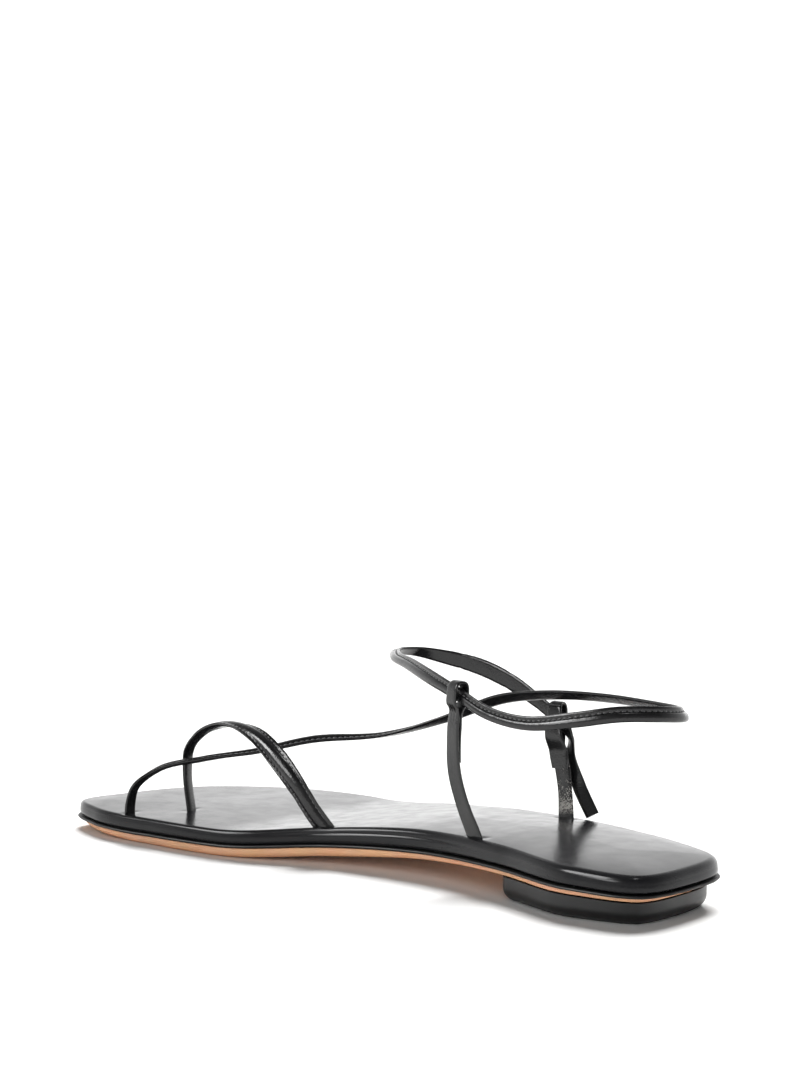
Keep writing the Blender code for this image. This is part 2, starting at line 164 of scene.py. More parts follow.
PROFILE = np.array((  # along, height of the tread, thickness of the outsole, thickness of the footbed
    (-5.0, 7.2, 1.6, 5.6),
    (30.0, 7.7, 1.5, 6.0),
    (60.0, 7.9, 1.4, 6.3),
    (100.0, 6.3, 1.9, 6.5),
    (140.0, 2.8, 3.1, 5.3),
    (178.0, 0.0, 3.2, 4.5),
    (212.0, 0.0, 2.9, 4.7),
    (224.0, 0.5, 2.5, 4.6),
    (238.0, 1.4, 1.8, 4.6),
    (255.0, 2.6, 0.9, 4.3),
))
TREAD, OUTSOLE, FOOTBED = 1, 2, 3

TIE_ROUTE = (  # along, across, height, then the way the strap faces: along, across, up; then its width
    (219.3, 36.0, 6.6, 10, 1, 0, 4.6),
    (219.0, 36.0, 12.0, 10, 1, 0, 4.6),
    (217.0, 35.6, 18.0, 9, 2, 4, 4.5),
    (212.5, 30.0, 23.5, 3, 0, 9, 4.5),
    (199.5, 21.5, 27.8, 2, -1, 10, 4.5),
    (184.0, 11.5, 31.0, 1, 1, 10, 4.8),
    (168.0, 0.0, 35.6, 0, 2, 10, 5.0),
    (148.0, -11.5, 38.0, 0, -1, 10, 5.0),
    (126.0, -20.0, 45.2, 0, -4, 10, 5.0),
    (104.0, -23.5, 53.8, 0, -6, 8, 5.0),
    (84.0, -24.3, 57.2, 0, -6, 8, 5.0),
    (58.0, -23.8, 59.0, -1, -6, 8, 5.0),
    (34.0, -20.5, 59.4, -3, -6, 7, 5.0),
    (18.5, -14.5, 59.8, -6, -6, 5, 5.0),
    (10.0, -4.0, 61.2, -9, -2, 3, 5.0),
    (10.0, 6.0, 62.4, -8, 4, 2, 5.0),
    (17.0, 15.0, 62.6, -5, 8, 2, 5.0),
    (30.0, 21.5, 60.2, -2, 10, 1, 4.9),
    (47.0, 25.0, 57.6, 0, 10, 1, 4.5),
    (64.5, 24.8, 59.0, 1, 10, 1, 4.3),
    (78.4, 22.5, 62.7, 2, 10, 0, 4.6),
    (97.0, 17.0, 66.0, 4, 8, 3, 4.6),
    (114.0, 9.0, 67.6, 4, 6, 6, 4.2),
    (129.2, 0.0, 67.7, 5, 3, 8, 3.9),
    (136.8, -9.0, 67.6, 6, 0, 8, 4.0),
    (137.0, -17.5, 66.6, 5, -5, 6, 4.3),
    (130.0, -24.0, 64.7, 3, -9, 2, 5.0),
    (118.0, -28.5, 62.1, 1, -10, 0, 5.7),
    (104.0, -30.4, 57.4, 0, -10, 0, 5.6),
    (94.0, -30.4, 53.0, 0, -10, 0, 4.8),
    (85.0, -30.4, 48.2, 0, -10, 0, 4.4),
    (82.2, -30.5, 46.0, 0, -10, 0, 4.2),
    (80.9, -32.0, 42.0, -5, -8, 0, 4.0),
    (81.8, -32.6, 36.5, 0, -10, 0, 4.2),
    (79.6, -33.9, 27.5, 5, -9, 0, 4.6),
    (74.2, -34.9, 17.6, 5, -9, 0, 4.6),
)
TIE_CREASES = (  # length along the strap, depth as a share of its thickness, and span
    (398.0, 0.08, 1.6),
    (428.0, 0.22, 0.9),
    (431.0, 0.10, 0.7),
    (447.0, 0.20, 1.0),
    (462.0, 0.14, 1.4),
)

TOE_STRAP_ROUTE = (  # the same columns, from the slot between the toes back to the ball
    (206.8, 19.0, 6.8, 9, 3, 0, 5.0),
    (207.6, 19.0, 11.0, 9, 3, 0, 5.0),
    (209.4, 18.8, 22.0, 9, 3, 1, 5.3),
    (208.5, 18.6, 30.0, 9, 2, 4, 5.6),
    (203.0, 18.6, 35.6, 6, 0, 7, 5.8),
    (193.0, 19.4, 39.8, 2, -2, 9, 6.0),
    (182.0, 21.0, 41.2, -1, 0, 10, 6.2),
    (170.0, 23.0, 39.0, -2, 5, 8, 6.0),
    (158.5, 24.4, 32.6, -1, 8, 5, 6.8),
    (149.8, 24.2, 24.6, 0, 9, 3, 6.9),
    (144.4, 22.4, 16.8, 0, 9, 3, 6.7),
    (139.8, 19.8, 10.2, 0, 9, 3, 6.4),
)
TOE_STRAP_CREASES = ((72.0, 0.05, 3.0), (93.0, 0.10, 2.0), (99.0, 0.06, 1.6))

MEDIAL_LEG = (  # along, across, height, then the way its outer side faces: along, across; then its width
    (76.5, 15.2, 14.2, 0, 10, 6.4),
    (77.3, 15.8, 17.0, 0, 10, 6.4),
    (80.2, 18.6, 28.0, 1, 10, 6.5),
    (81.3, 20.9, 38.0, 1, 10, 6.2),
    (80.8, 22.1, 48.0, 2, 10, 6.0),
    (80.0, 22.5, 56.0, 2, 10, 5.8),
    (79.0, 22.5, 62.7, 2, 10, 5.0),
    (78.6, 22.3, 70.0, 2, 10, 5.0),
)
LATERAL_LEG = (  # the same columns
    (78.7, -26.6, 14.2, 0, -10, 6.4),
    (79.2, -27.0, 17.0, 0, -10, 6.4),
    (80.5, -27.8, 26.0, 0, -10, 6.0),
    (82.4, -28.3, 34.0, 0, -10, 6.3),
    (84.8, -28.8, 40.0, 0, -10, 5.2),
    (86.0, -29.6, 44.5, 0, -10, 4.3),
    (86.0, -30.4, 48.0, 0, -10, 4.2),
    (85.8, -30.8, 56.0, 0, -10, 4.4),
)
KEEPERS = {  # neck: height over which the layers part below the keeper; leaves: degrees below level where
    # they leave its oval; the three widths are the folded layer's shares of the band's width
    "medial_upright": {
        "leg": MEDIAL_LEG, "middle": 62.7, "clear_height": 6.8, "clear_depth": 3.4, "neck": 1.4,
        "leaves": 62.0, "fold_end": 41.0, "round_width": 0.96, "fold_width": 0.96, "end_width": 0.56,
    },
    "lateral_upright": {
        "leg": LATERAL_LEG, "middle": 47.2, "clear_height": 11.6, "clear_depth": 3.7, "neck": 2.6,
        "leaves": 32.0, "fold_end": 33.0, "round_width": 1.65, "fold_width": 1.43, "end_width": 1.05,
    },
}
# The medial upright is drawn in at its neck. Places here are lengths from the neck along the band.
NECK_PINCHES = {"medial_upright": ((0.0, 0.3, 0.8),)}  # place, depth as a share of its thickness, span
NECK_GATHERS = {  # place, depth, span, then how far apart the small folds are
    "medial_upright": ((1.6, 0.22, 1.6, 1.5), (-1.6, 0.16, 1.4, 1.5)),
}

# Sections of the straps, as shares of the width to the side and of the thickness out of the face
TIE_SECTION = (  # a round roll below, a stitched flange above, and a flat lining side
    (-0.50, 0.00), (-0.457, 0.26), (-0.34, 0.45), (-0.18, 0.52), (-0.02, 0.45), (0.08, 0.30), (0.13, 0.12),
    (0.17, 0.07), (0.22, 0.14), (0.30, 0.19), (0.40, 0.18), (0.47, 0.08), (0.49, -0.10), (0.42, -0.30),
    (0.20, -0.38), (-0.08, -0.44), (-0.34, -0.46), (-0.46, -0.30),
)
TOE_STRAP_SECTION = (  # a crowned middle between two stitched edges
    (-0.50, 0.00), (-0.48, 0.14), (-0.41, 0.18), (-0.34, 0.12), (-0.27, 0.24), (-0.15, 0.43), (0.00, 0.50),
    (0.15, 0.43), (0.27, 0.24), (0.34, 0.12), (0.41, 0.18), (0.48, 0.14), (0.50, 0.00), (0.46, -0.24),
    (0.32, -0.42), (0.00, -0.48), (-0.32, -0.42), (-0.46, -0.24),
)
BAND_SECTION = (  # a flat folded band with soft edges
    (-0.50, -0.04), (-0.485, 0.15), (-0.43, 0.28), (-0.25, 0.42), (0.00, 0.50), (0.25, 0.42), (0.43, 0.28),
    (0.485, 0.15), (0.50, -0.04), (0.485, -0.28), (0.44, -0.43), (0.25, -0.48), (0.00, -0.48),
    (-0.25, -0.48), (-0.44, -0.43), (-0.485, -0.28),
)


def linear(colour):
    """An sRGB hex colour as linear values."""
    shares = [int(colour[k:k + 2], 16) / 255 for k in (1, 3, 5)]
    return [s / 12.92 if s <= 0.04045 else ((s + 0.055) / 1.055) ** 2.4 for s in shares] + [1.0]


def node(tree, kind, settings=None, links=None):
    """Add a node, set its sockets or properties by name or number, and link its sockets."""
    made = tree.nodes.new(kind)
    for key, value in (settings or {}).items():
        if isinstance(key, int) or key in made.inputs:
            made.inputs[key].default_value = value
        else:
            setattr(made, key, value)
    for key, source in (links or {}).items():
        tree.links.new(source, made.inputs[key])
    return made


def new_material(name):
    """A new material, its node tree and its shader."""
    material = bpy.data.materials.new(name)
    material.use_nodes = True
    return material, material.node_tree, material.node_tree.nodes["Principled BSDF"]


def footbed_leather():
    """Black calf leather, glazed smooth: it mirrors a pale room softly and shows a faint close grain."""
    material, tree, shader = new_material("glazed black calf leather")
    place = node(tree, "ShaderNodeTexCoord").outputs["Object"]
    cloud = node(tree, "ShaderNodeTexNoise", {"Scale": METRE / 24, "Detail": 3.0}, {"Vector": place})
    tone = node(tree, "ShaderNodeMix",
                {"data_type": "RGBA", "A": linear("#151517"), "B": linear("#1f1f21")},
                {"Factor": cloud.outputs["Fac"]})
    tree.links.new(tone.outputs["Result"], shader.inputs["Base Color"])
    smear = node(tree, "ShaderNodeTexNoise", {"Scale": METRE / 6, "Detail": 4.0}, {"Vector": place})
    gloss = node(tree, "ShaderNodeMapRange",
                 {"From Min": 0.3, "From Max": 0.7, "To Min": 0.17, "To Max": 0.24},
                 {"Value": smear.outputs["Fac"]})
    tree.links.new(gloss.outputs["Result"], shader.inputs["Roughness"])
    swell = node(tree, "ShaderNodeTexNoise", {"Scale": METRE / 16, "Detail": 1.0}, {"Vector": place})
    soft = node(tree, "ShaderNodeBump", {"Strength": 0.12, "Distance": 0.05 * MM},
                {"Height": swell.outputs["Fac"]})
    # Real calf grain is finer than 0.8 mm. It is drawn this coarse so that it shows.
    grain = node(tree, "ShaderNodeTexVoronoi", {"Scale": METRE / 0.8}, {"Vector": place})
    fine = node(tree, "ShaderNodeBump", {"Strength": 0.25, "Distance": 0.03 * MM},
                {"Height": grain.outputs["Distance"], "Normal": soft.outputs["Normal"]})
    tree.links.new(fine.outputs["Normal"], shader.inputs["Normal"])
    shader.inputs["IOR"].default_value = 1.3
    return material


def strap_leather(name, flecks):
    """Black nappa, turned and glued: a satin face with a fine pebble and small wrinkles.

    With flecks, its black finish is chipped pale, most near the strap's foot.
    """
    material, tree, shader = new_material(name)
    laid = node(tree, "ShaderNodeAttribute", {"attribute_name": "laid_flat"}).outputs["Vector"]
    cloud = node(tree, "ShaderNodeTexNoise", {"Scale": METRE / 7, "Detail": 4.0}, {"Vector": laid})
    tone = node(tree, "ShaderNodeMix",
                {"data_type": "RGBA", "A": linear("#0f0f10"), "B": linear("#1a1a1b")},
                {"Factor": cloud.outputs["Fac"]})
    colour = tone.outputs["Result"]
    gloss = node(tree, "ShaderNodeMapRange",
                 {"From Min": 0.3, "From Max": 0.7, "To Min": 0.16, "To Max": 0.26},
                 {"Value": cloud.outputs["Fac"]})
    if flecks:
        from_foot = node(tree, "ShaderNodeSeparateXYZ", None, {"Vector": laid}).outputs["X"]
        near_foot = node(tree, "ShaderNodeMapRange",
                         {"From Min": 22 * MM, "From Max": 7 * MM, "To Min": 0.12, "To Max": 0.45},
                         {"Value": from_foot})
        chips = node(tree, "ShaderNodeTexNoise", {"Scale": METRE / 0.45, "Detail": 4.0}, {"Vector": laid})
        patch = node(tree, "ShaderNodeTexNoise", {"Scale": METRE / 2.2, "Detail": 2.0}, {"Vector": laid})
        patchy = node(tree, "ShaderNodeMath", {"operation": "MULTIPLY_ADD", 1: 0.5},
                      {0: patch.outputs["Fac"], 2: chips.outputs["Fac"]})
        worn = node(tree, "ShaderNodeMath", {"operation": "ADD"},
                    {0: patchy.outputs[0], 1: near_foot.outputs["Result"]})
        chip = node(tree, "ShaderNodeMapRange", {"From Min": 1.12, "From Max": 1.22},
                    {"Value": worn.outputs[0]})
        above_foot = node(tree, "ShaderNodeMapRange", {"From Min": 4 * MM, "From Max": 6 * MM},
                          {"Value": from_foot})
        shown = node(tree, "ShaderNodeMath", {"operation": "MULTIPLY"},
                     {0: chip.outputs["Result"], 1: above_foot.outputs["Result"]})
        scuffed = node(tree, "ShaderNodeMix", {"data_type": "RGBA", "B": linear("#c0bcb6")},
                       {"Factor": shown.outputs[0], "A": colour})
        colour = scuffed.outputs["Result"]
    tree.links.new(colour, shader.inputs["Base Color"])
    tree.links.new(gloss.outputs["Result"], shader.inputs["Roughness"])
    wrinkle = node(tree, "ShaderNodeTexNoise", {"Scale": METRE / 2.4, "Detail": 3.0}, {"Vector": laid})
    creased = node(tree, "ShaderNodeBump", {"Strength": 0.45, "Distance": 0.12 * MM},
                   {"Height": wrinkle.outputs["Fac"]})
    # Real nappa has a finer pebble than 0.7 mm. It is drawn this coarse so that it shows.
    pebble = node(tree, "ShaderNodeTexVoronoi", {"Scale": METRE / 0.7}, {"Vector": laid})
    grained = node(tree, "ShaderNodeBump", {"Strength": 0.5, "Distance": 0.05 * MM},
                   {"Height": pebble.outputs["Distance"], "Normal": creased.outputs["Normal"]})
    tree.links.new(grained.outputs["Normal"], shader.inputs["Normal"])
    shader.inputs["IOR"].default_value = 1.45
    return material


def edge_paint():
    """Black edge dressing brushed on cut leather: a low satin shine over a slightly furry cut."""
    material, tree, shader = new_material("black edge dressing")
    place = node(tree, "ShaderNodeTexCoord").outputs["Object"]
    # Real fibre is finer than 0.6 mm. It is drawn this coarse so that it shows.
    fibre = node(tree, "ShaderNodeTexNoise", {"Scale": METRE / 0.6, "Detail": 4.0}, {"Vector": place})
    tone = node(tree, "ShaderNodeMix",
                {"data_type": "RGBA", "A": linear("#0b0b0b"), "B": linear("#1a1918")},
                {"Factor": fibre.outputs["Fac"]})
    tree.links.new(tone.outputs["Result"], shader.inputs["Base Color"])
    brush = node(tree, "ShaderNodeTexNoise", {"Scale": METRE / 5, "Detail": 2.0}, {"Vector": place})
    gloss = node(tree, "ShaderNodeMapRange", {"To Min": 0.3, "To Max": 0.6},
                 {"Value": brush.outputs["Fac"]})
    tree.links.new(gloss.outputs["Result"], shader.inputs["Roughness"])
    cut = node(tree, "ShaderNodeBump", {"Strength": 0.6, "Distance": 0.1 * MM},
               {"Height": fibre.outputs["Fac"]})
    tree.links.new(cut.outputs["Normal"], shader.inputs["Normal"])
    shader.inputs["IOR"].default_value = 1.42
    return material


def sole_leather():
    """Vegetable-tanned sole leather, cut and waxed: warm tan with lengthwise fibre and darker patches."""
    material, tree, shader = new_material("vegetable-tanned sole leather")
    place = node(tree, "ShaderNodeTexCoord").outputs["Object"]
    along = node(tree, "ShaderNodeMapping", {"Scale": (0.12, 0.12, 1.0)}, {"Vector": place})
    # Real fibre is finer than 0.5 mm. It is drawn this coarse so that it shows.
    fibre = node(tree, "ShaderNodeTexNoise", {"Scale": METRE / 0.5, "Detail": 4.0},
                 {"Vector": along.outputs[0]})
    tone = node(tree, "ShaderNodeMix",
                {"data_type": "RGBA", "A": linear("#f2b083"), "B": linear("#ffc79d")},
                {"Factor": fibre.outputs["Fac"]})
    cloud = node(tree, "ShaderNodeTexNoise", {"Scale": METRE / 12, "Detail": 3.0}, {"Vector": place})
    patched = node(tree, "ShaderNodeMix", {"data_type": "RGBA", "blend_type": "MULTIPLY", "Factor": 0.25},
                   {"A": tone.outputs["Result"], "B": cloud.outputs["Color"]})
    tree.links.new(patched.outputs["Result"], shader.inputs["Base Color"])
    gloss = node(tree, "ShaderNodeMapRange", {"To Min": 0.4, "To Max": 0.62},
                 {"Value": cloud.outputs["Fac"]})
    tree.links.new(gloss.outputs["Result"], shader.inputs["Roughness"])
    cut = node(tree, "ShaderNodeBump", {"Strength": 0.4, "Distance": 0.06 * MM},
               {"Height": fibre.outputs["Fac"]})
    tree.links.new(cut.outputs["Normal"], shader.inputs["Normal"])
    shader.inputs["IOR"].default_value = 1.45
    return material


def heel_rubber():
    """Moulded black rubber with a waxed side: nearly even, satin, with faint polish marks."""
    material, tree, shader = new_material("moulded black rubber")
    place = node(tree, "ShaderNodeTexCoord").outputs["Object"]
    level = node(tree, "ShaderNodeMapping", {"Scale": (0.2, 0.2, 1.0)}, {"Vector": place})
    polish = node(tree, "ShaderNodeTexNoise", {"Scale": METRE / 1.2, "Detail": 3.0},
                  {"Vector": level.outputs[0]})
    tone = node(tree, "ShaderNodeMix",
                {"data_type": "RGBA", "A": linear("#0a0a0b"), "B": linear("#141415")},
                {"Factor": polish.outputs["Fac"]})
    tree.links.new(tone.outputs["Result"], shader.inputs["Base Color"])
    gloss = node(tree, "ShaderNodeMapRange", {"To Min": 0.3, "To Max": 0.48},
                 {"Value": polish.outputs["Fac"]})
    tree.links.new(gloss.outputs["Result"], shader.inputs["Roughness"])
    dust = node(tree, "ShaderNodeTexNoise", {"Scale": METRE / 0.5, "Detail": 2.0}, {"Vector": place})
    skin = node(tree, "ShaderNodeBump", {"Strength": 0.2, "Distance": 0.04 * MM},
                {"Height": dust.outputs["Fac"]})
    tree.links.new(skin.outputs["Normal"], shader.inputs["Normal"])
    shader.inputs["IOR"].default_value = 1.44
    return material


def waxed_thread():
    """Waxed polyester thread: black and twisted, drawn dark grey as a painted sheen, with a small sharp
    shine on each stitch.
    """
    material, tree, shader = new_material("waxed polyester thread")
    place = node(tree, "ShaderNodeTexCoord").outputs["Object"]
    twist = node(tree, "ShaderNodeTexNoise", {"Scale": METRE / 0.25, "Detail": 1.0}, {"Vector": place})
    # Painted sheen: the black thread is drawn dark grey, lighter than it is; the twist only varies how
    # grey it is.
    tone = node(tree, "ShaderNodeMix",
                {"data_type": "RGBA", "A": linear("#2c2c2d"), "B": linear("#4c4c4e")},
                {"Factor": twist.outputs["Fac"]})
    tree.links.new(tone.outputs["Result"], shader.inputs["Base Color"])
    ply = node(tree, "ShaderNodeBump", {"Strength": 0.5, "Distance": 0.04 * MM},
               {"Height": twist.outputs["Fac"]})
    tree.links.new(ply.outputs["Normal"], shader.inputs["Normal"])
    shader.inputs["Roughness"].default_value = 0.3
    shader.inputs["IOR"].default_value = 1.55
    shader.inputs["Sheen Weight"].default_value = 0.2
    return material


def smooth_curve(rows, closed=False, steps=CURVE_STEPS):
    """A curve through the rows, sampled densely. Its pace follows the distance between places."""
    knots = np.array(rows, float)
    if closed:
        knots = np.vstack((knots, knots[:1]))
    step = np.diff(knots, axis=0)
    chord = np.linalg.norm(step[:, :3], axis=1)[:, None]
    pace = step / chord
    if closed:
        before, chord_before = np.roll(pace, 1, axis=0), np.roll(chord, 1, axis=0)
        slope = (pace * chord_before + before * chord) / (chord + chord_before)
        slope = np.vstack((slope, slope[:1]))
    else:
        inner = (pace[1:] * chord[:-1] + pace[:-1] * chord[1:]) / (chord[1:] + chord[:-1])
        slope = np.vstack((pace[:1], inner, pace[-1:]))
    t = np.linspace(0.0, 1.0, steps, endpoint=False)[None, :, None]
    start, end = knots[:-1, None], knots[1:, None]
    leave, arrive = slope[:-1, None] * chord[:, None], slope[1:, None] * chord[:, None]
    bend_in = 3 * (end - start) - 2 * leave - arrive
    bend_out = 2 * (start - end) + leave + arrive
    curve = start + leave * t + bend_in * t**2 + bend_out * t**3
    return np.vstack((curve.reshape(-1, knots.shape[1]), knots[-1:]))


def run_of(curve):
    """Length so far at each place of a curve."""
    return np.append(0.0, np.cumsum(np.linalg.norm(np.diff(curve[:, :3], axis=0), axis=1)))


def evenly(curve, count):
    """Places at even spacing along a dense curve."""
    run = run_of(curve)
    places = np.linspace(0.0, run[-1], count + 1)
    return np.column_stack([np.interp(places, run, column) for column in curve.T])


def unit(vectors):
    """The same directions, each of length one."""
    return vectors / np.linalg.norm(vectors, axis=-1, keepdims=True)


def profile(column):
    """A height or thickness along the sole, level between rows of the same value."""
    along, value = PROFILE[:, 0], PROFILE[:, column]
    pace = np.diff(value) / np.diff(along)
    before, after = pace[:-1], pace[1:]
    slope = np.zeros(len(value))
    rising = before * after > 0
    slope[1:-1][rising] = (2 * before * after)[rising] / (before + after)[rising]

    def at(place):
        k = np.clip(np.searchsorted(along, place) - 1, 0, len(pace) - 1)
        span = along[k + 1] - along[k]
        t = (place - along[k]) / span
        rise = value[k + 1] - value[k]
        leave, arrive = slope[k] * span, slope[k + 1] * span
        return (value[k] + leave * t + (3 * rise - 2 * leave - arrive) * t**2
                + (leave + arrive - 2 * rise) * t**3)

    return at


tread = profile(TREAD)
outsole_thick = profile(OUTSOLE)
footbed_thick = profile(FOOTBED)


def midsole_base(along):
    """Height of the board's underside, a gap above the outsole."""
    return tread(along) + outsole_thick(along) + GAP


def footbed_base(along):
    """Height of the footbed's underside, a gap above the board."""
    return midsole_base(along) + MIDSOLE_THICK + GAP


def footbed_top(along):
    """Even height of the footbed's top, before its padding."""
    return footbed_base(along) + footbed_thick(along)


def back_inset(along):
    """How far the outsole and heel stand in, from the back of the heel forwards."""
    return np.interp(along, (BACK_FROM, BACK_TO), (BACK_INSET, 0.0))


def outsole_rise(along):
    """Height of the outsole's rounded lower edge, less where the outsole is thin."""
    rise = np.interp(along, (HEEL_BREAST, BALL_FROM), (OUTSOLE_RISE_HEEL, OUTSOLE_RISE_BALL))
    return np.minimum(rise, OUTSOLE_RISE_SHARE * outsole_thick(along))


def cornered_ring(plan, corners, along_steps, across_steps):
    """A closed plan as one ring of four evenly split sides: back, big-toe side, front and far side."""
    at = [np.linalg.norm(plan - corner, axis=1).argmin() for corner in corners]
    plan = np.roll(plan, -at[0], axis=0)
    at = [(k - at[0]) % len(plan) for k in at] + [len(plan)]
    plan = np.vstack((plan, plan[:1]))
    counts = (across_steps, along_steps, across_steps, along_steps)
    sides = [evenly(plan[a:b + 1], count)[:-1] for a, b, count in zip(at, at[1:], counts)]
    return np.vstack(sides)


def inset_ring(ring, inset):
    """The ring moved inwards, by one inset or one for each point.

    Its direction at a point is taken over two points on each side.
    """
    heading = unit(np.roll(ring, -2, axis=0) - np.roll(ring, 2, axis=0))
    inward = np.column_stack((heading[:, 1], -heading[:, 0]))
    return ring + inward * np.broadcast_to(inset, len(ring))[:, None]


def across_ring(ring, along_steps, across_steps):
    """Places that fill a four-sided ring, row by row from its far side to its big-toe side."""
    closed = np.vstack((ring, ring[:1]))
    turn_one, turn_two = across_steps + along_steps, 2 * across_steps + along_steps
    back = closed[:across_steps + 1, None]
    front = closed[turn_one:turn_two + 1][::-1][:, None]
    near = closed[across_steps:turn_one + 1][None]
    far = closed[turn_two:][::-1][None]
    u = np.linspace(0.0, 1.0, along_steps + 1)[None, :, None]
    v = np.linspace(0.0, 1.0, across_steps + 1)[:, None, None]
    corners = ((1 - u) * (1 - v) * far[:, :1] + u * (1 - v) * far[:, -1:]
               + (1 - u) * v * near[:, :1] + u * v * near[:, -1:])
    return (1 - v) * far + v * near + (1 - u) * back + u * front - corners


def lay_grid(mesh, places):
    """A grid of quads whose corners are moved to the places."""
    rows, columns = places.shape[:2]
    made = bmesh.ops.create_grid(mesh, x_segments=columns - 1, y_segments=rows - 1, size=0.5)
    for corner, place in zip(made["verts"], (places.reshape(-1, 3) - ORIGIN) * MM):
        corner.co = place
    return made["verts"]


def lay_wall(mesh, rings):
    """A wall of quads round the rings, closed where it starts."""
    rings = np.array(rings)
    lay_grid(mesh, np.concatenate((rings, rings[:, :1]), axis=1))


def lay_fill(mesh, ring, along_steps=ALONG_STEPS, across_steps=ACROSS_STEPS):
    """Close a four-sided ring with an even grid."""
    lay_grid(mesh, across_ring(ring, along_steps, across_steps))


def piece_from(mesh, name, material, stands_for=None):
    """Close the mesh and make it a piece of the sandal."""
    bmesh.ops.remove_doubles(mesh, verts=mesh.verts, dist=MERGE)
    open_edges = [edge for edge in mesh.edges if edge.is_boundary]
    if open_edges:
        bmesh.ops.holes_fill(mesh, edges=open_edges)
    bmesh.ops.recalc_face_normals(mesh, faces=mesh.faces)
    data = bpy.data.meshes.new(name)
    mesh.to_mesh(data)
    mesh.free()
    data.materials.append(material)
    data.shade_smooth()
    data.set_sharp_from_angle(angle=np.radians(SHARP_EDGE))
    piece = bpy.data.objects.new(name, data)
    bpy.context.collection.objects.link(piece)
    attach(piece, "root")
    if stands_for:
        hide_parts(stands_for)


def with_height(plan, height):
    """Places of the plan at a height, one for all or one for each."""
    return np.concatenate((plan, np.broadcast_to(height, plan.shape[:-1])[..., None]), axis=-1)


SOLE_PLAN = smooth_curve(OUTLINE, closed=True)[:-1]
SOLE_RING = cornered_ring(SOLE_PLAN, SOLE_CORNERS, ALONG_STEPS, ACROSS_STEPS)


def from_edge(plan):
    """Distance of each place on the plan from the sole's edge."""
    nearest = np.full(plan.shape[:-1], np.inf)
    for point in smooth_curve(OUTLINE, closed=True, steps=EDGE_STEPS):
        nearest = np.minimum(nearest, np.hypot(plan[..., 0] - point[0], plan[..., 1] - point[1]))
    return nearest


def crown(along, inset):
    """How far the padded cover stands from its even height, most under the wearer's heel."""
    height = np.interp(along, (CROWN_FROM, CROWN_TO), (HEEL_CROWN, BALL_CROWN))
    span = np.interp(along, (CROWN_FROM, CROWN_TO), (HEEL_CROWN_SPAN, BALL_CROWN_SPAN))
    return height * (CROWN_REST - np.exp(-inset / span))


def footbed_edge(along):
    """Radius of the cover's upper edge."""
    return np.interp(along, (CROWN_FROM, CROWN_TO), (FOOTBED_EDGE_HEEL, FOOTBED_EDGE_BALL))


def footbed_relief(plan):
    """How far the cover is pulled in at the slots."""
    relief = np.zeros(plan.shape[:-1])
    for along, across, half, ahead, aside in SLOTS:
        way = unit(np.array((ahead, aside), float))
        apart = plan - (along, across)
        on_line = np.clip(apart @ way, -half, half)
        distance = np.linalg.norm(apart - on_line[..., None] * way, axis=-1)
        relief -= SLOT_DENT * np.exp(-(distance / SLOT_DENT_SPAN)**2)
    return relief


def make_footbed():
    """The padded cover: crowned on top, rounded at its edge, and creased along the arch."""
    mesh = bmesh.new()
    along = SOLE_RING[:, 0]
    edge = footbed_edge(along)
    inner = inset_ring(SOLE_RING, FOOTBED_INSET + edge)
    top = across_ring(inner, ALONG_STEPS, ACROSS_STEPS)
    relief = footbed_relief(top) + crown(top[..., 0], from_edge(top))
    lay_grid(mesh, with_height(top, footbed_top(top[..., 0]) + relief))
    arch = np.exp(-((along - ARCH_MIDDLE) / ARCH_SPAN)**4) * (SOLE_RING[:, 1] > 0)
    turned_in = np.interp(along, (CROWN_FROM, CROWN_TO), (FOOTBED_TUCK_HEEL, FOOTBED_TUCK_BALL))
    rings = []
    for turn in np.radians(np.linspace(90.0, 0.0, FOOTBED_EDGE_RINGS)):
        inset = FOOTBED_INSET + edge * (1 - np.cos(turn))
        plan = inset_ring(SOLE_RING, inset)
        relief = footbed_relief(plan) + crown(plan[:, 0], inset)
        rings.append(with_height(plan, footbed_top(plan[:, 0]) - edge * (1 - np.sin(turn)) + relief))
    high = footbed_top(along) - edge + crown(along, FOOTBED_INSET)
    for share in np.linspace(0.0, 1.0, FOOTBED_SIDE_RINGS)[1:]:
        crease = CREASE_DEPTH * arch * np.exp(-((share - CREASE_AT) / CREASE_SPAN)**2)
        bulge = SIDE_BULGE * np.sin(np.pi * share)
        tuck = turned_in * np.clip((share - TUCK_FROM) / (1 - TUCK_FROM), 0.0, 1.0)**2
        plan = inset_ring(SOLE_RING, FOOTBED_INSET + crease - bulge + tuck)
        rings.append(with_height(plan, high + (footbed_base(along) - high) * share))
    lay_wall(mesh, rings)
    lay_fill(mesh, rings[-1])
    piece_from(mesh, "footbed_cover", footbed_leather(), "footbed")


def make_midsole():
    """The thin board whose trimmed lip shows all round, a little uneven from the knife."""
    mesh = bmesh.new()
    along = SOLE_RING[:, 0]
    place = np.linspace(0.0, 2 * np.pi, len(SOLE_RING), endpoint=False)
    uneven = sum(size * np.sin(count * place + start) for size, count, start in KNIFE_WAVES)
    half = MIDSOLE_THICK / 2
    covered = inset_ring(SOLE_RING, MIDSOLE_COVERED)
    rings = [with_height(covered, midsole_base(along))]
    for turn in np.radians(np.linspace(-90.0, 90.0, MIDSOLE_RINGS)):
        plan = inset_ring(SOLE_RING, uneven - MIDSOLE_LIP + half * (1 - np.cos(turn)))
        rings.append(with_height(plan, midsole_base(along) + half * (1 + np.sin(turn))))
    rings.append(with_height(covered, midsole_base(along) + MIDSOLE_THICK))
    lay_wall(mesh, rings)
    lay_fill(mesh, rings[0])
    lay_fill(mesh, rings[-1])
    piece_from(mesh, "midsole_lip", edge_paint(), "midsole")


